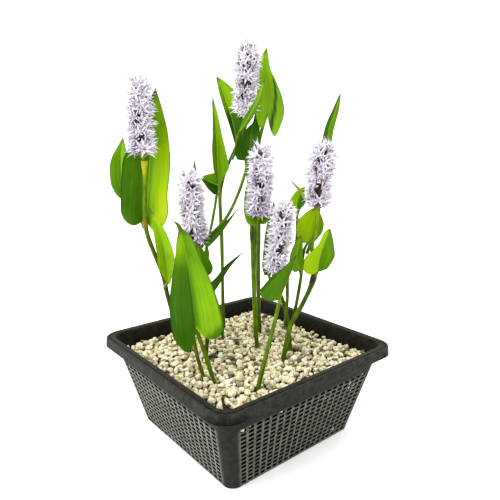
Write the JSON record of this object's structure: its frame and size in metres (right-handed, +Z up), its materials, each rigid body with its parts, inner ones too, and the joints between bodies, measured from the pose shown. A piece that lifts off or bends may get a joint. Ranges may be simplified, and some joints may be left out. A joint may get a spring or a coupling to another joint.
{
  "type": "potted pickerelweed",
  "caption": "Pond marginal plant with lance and heart shaped leaves and pale lavender flower spikes, growing from gravel in a square mesh planting basket.",
  "frame": {"origin": "centre of the flat underside of the basket", "axes": "+Z up; X and Y run along the sides of the square basket; the picture looks from between -X and -Y at the corner where both are negative"},
  "size_m": [0.2391, 0.2316, 0.4085],
  "materials": {
    "basket_plastic": "satin black injection-moulded polypropylene",
    "wet_soil": "dark wet aquatic soil",
    "gravel_chips": "dry rounded cream and tan chips",
    "stem": "smooth semi-gloss olive green stem",
    "leaf": "smooth glossy fresh green leaf",
    "florets": "matt pale lavender petals"
  },
  "bodies": {
    "root": {"planting_basket": "basket_plastic", "soil": "wet_soil", "gravel": "gravel_chips", "flower_stem_left": "stem", "flower_stem_left_inner": "stem", "flower_stem_tall": "stem", "flower_stem_middle": "stem", "flower_stem_low": "stem", "flower_stem_right": "stem", "flower_spike_left": "florets", "flower_spike_left_inner": "florets", "flower_spike_tall": "florets", "flower_spike_middle": "florets", "flower_spike_low": "florets", "flower_spike_right": "florets", "leaf_left_large": "leaf", "leaf_left_rear": "leaf", "leaf_left_inner": "leaf", "leaf_front_large": "leaf", "leaf_front_rear": "leaf", "leaf_front_folded": "leaf", "leaf_front_narrow": "leaf", "leaf_left_middle": "leaf", "leaf_tall_spear": "leaf", "leaf_dark_heart": "leaf", "leaf_top_left": "leaf", "leaf_top_dark": "leaf", "leaf_top_narrow": "leaf", "leaf_top_right": "leaf", "leaf_middle": "leaf", "leaf_low_rear": "leaf", "leaf_low_boat": "leaf", "leaf_right_heart": "leaf", "leaf_right_inner": "leaf", "leaf_right_low": "leaf", "leaf_right_spear": "leaf", "leaf_right_small": "leaf", "leaf_right_tall": "leaf", "leaf_left_rear_stalk": "stem", "leaf_front_large_stalk": "stem", "leaf_front_folded_stalk": "stem", "leaf_front_narrow_stalk": "stem", "leaf_tall_spear_stalk": "stem", "leaf_dark_heart_stalk": "stem", "leaf_top_left_stalk": "stem", "leaf_top_dark_stalk": "stem", "leaf_top_narrow_stalk": "stem", "leaf_top_right_stalk": "stem", "leaf_low_boat_stalk": "stem", "leaf_right_heart_stalk": "stem", "leaf_right_small_stalk": "stem", "leaf_right_tall_stalk": "stem"}
  },
  "joints": []
}
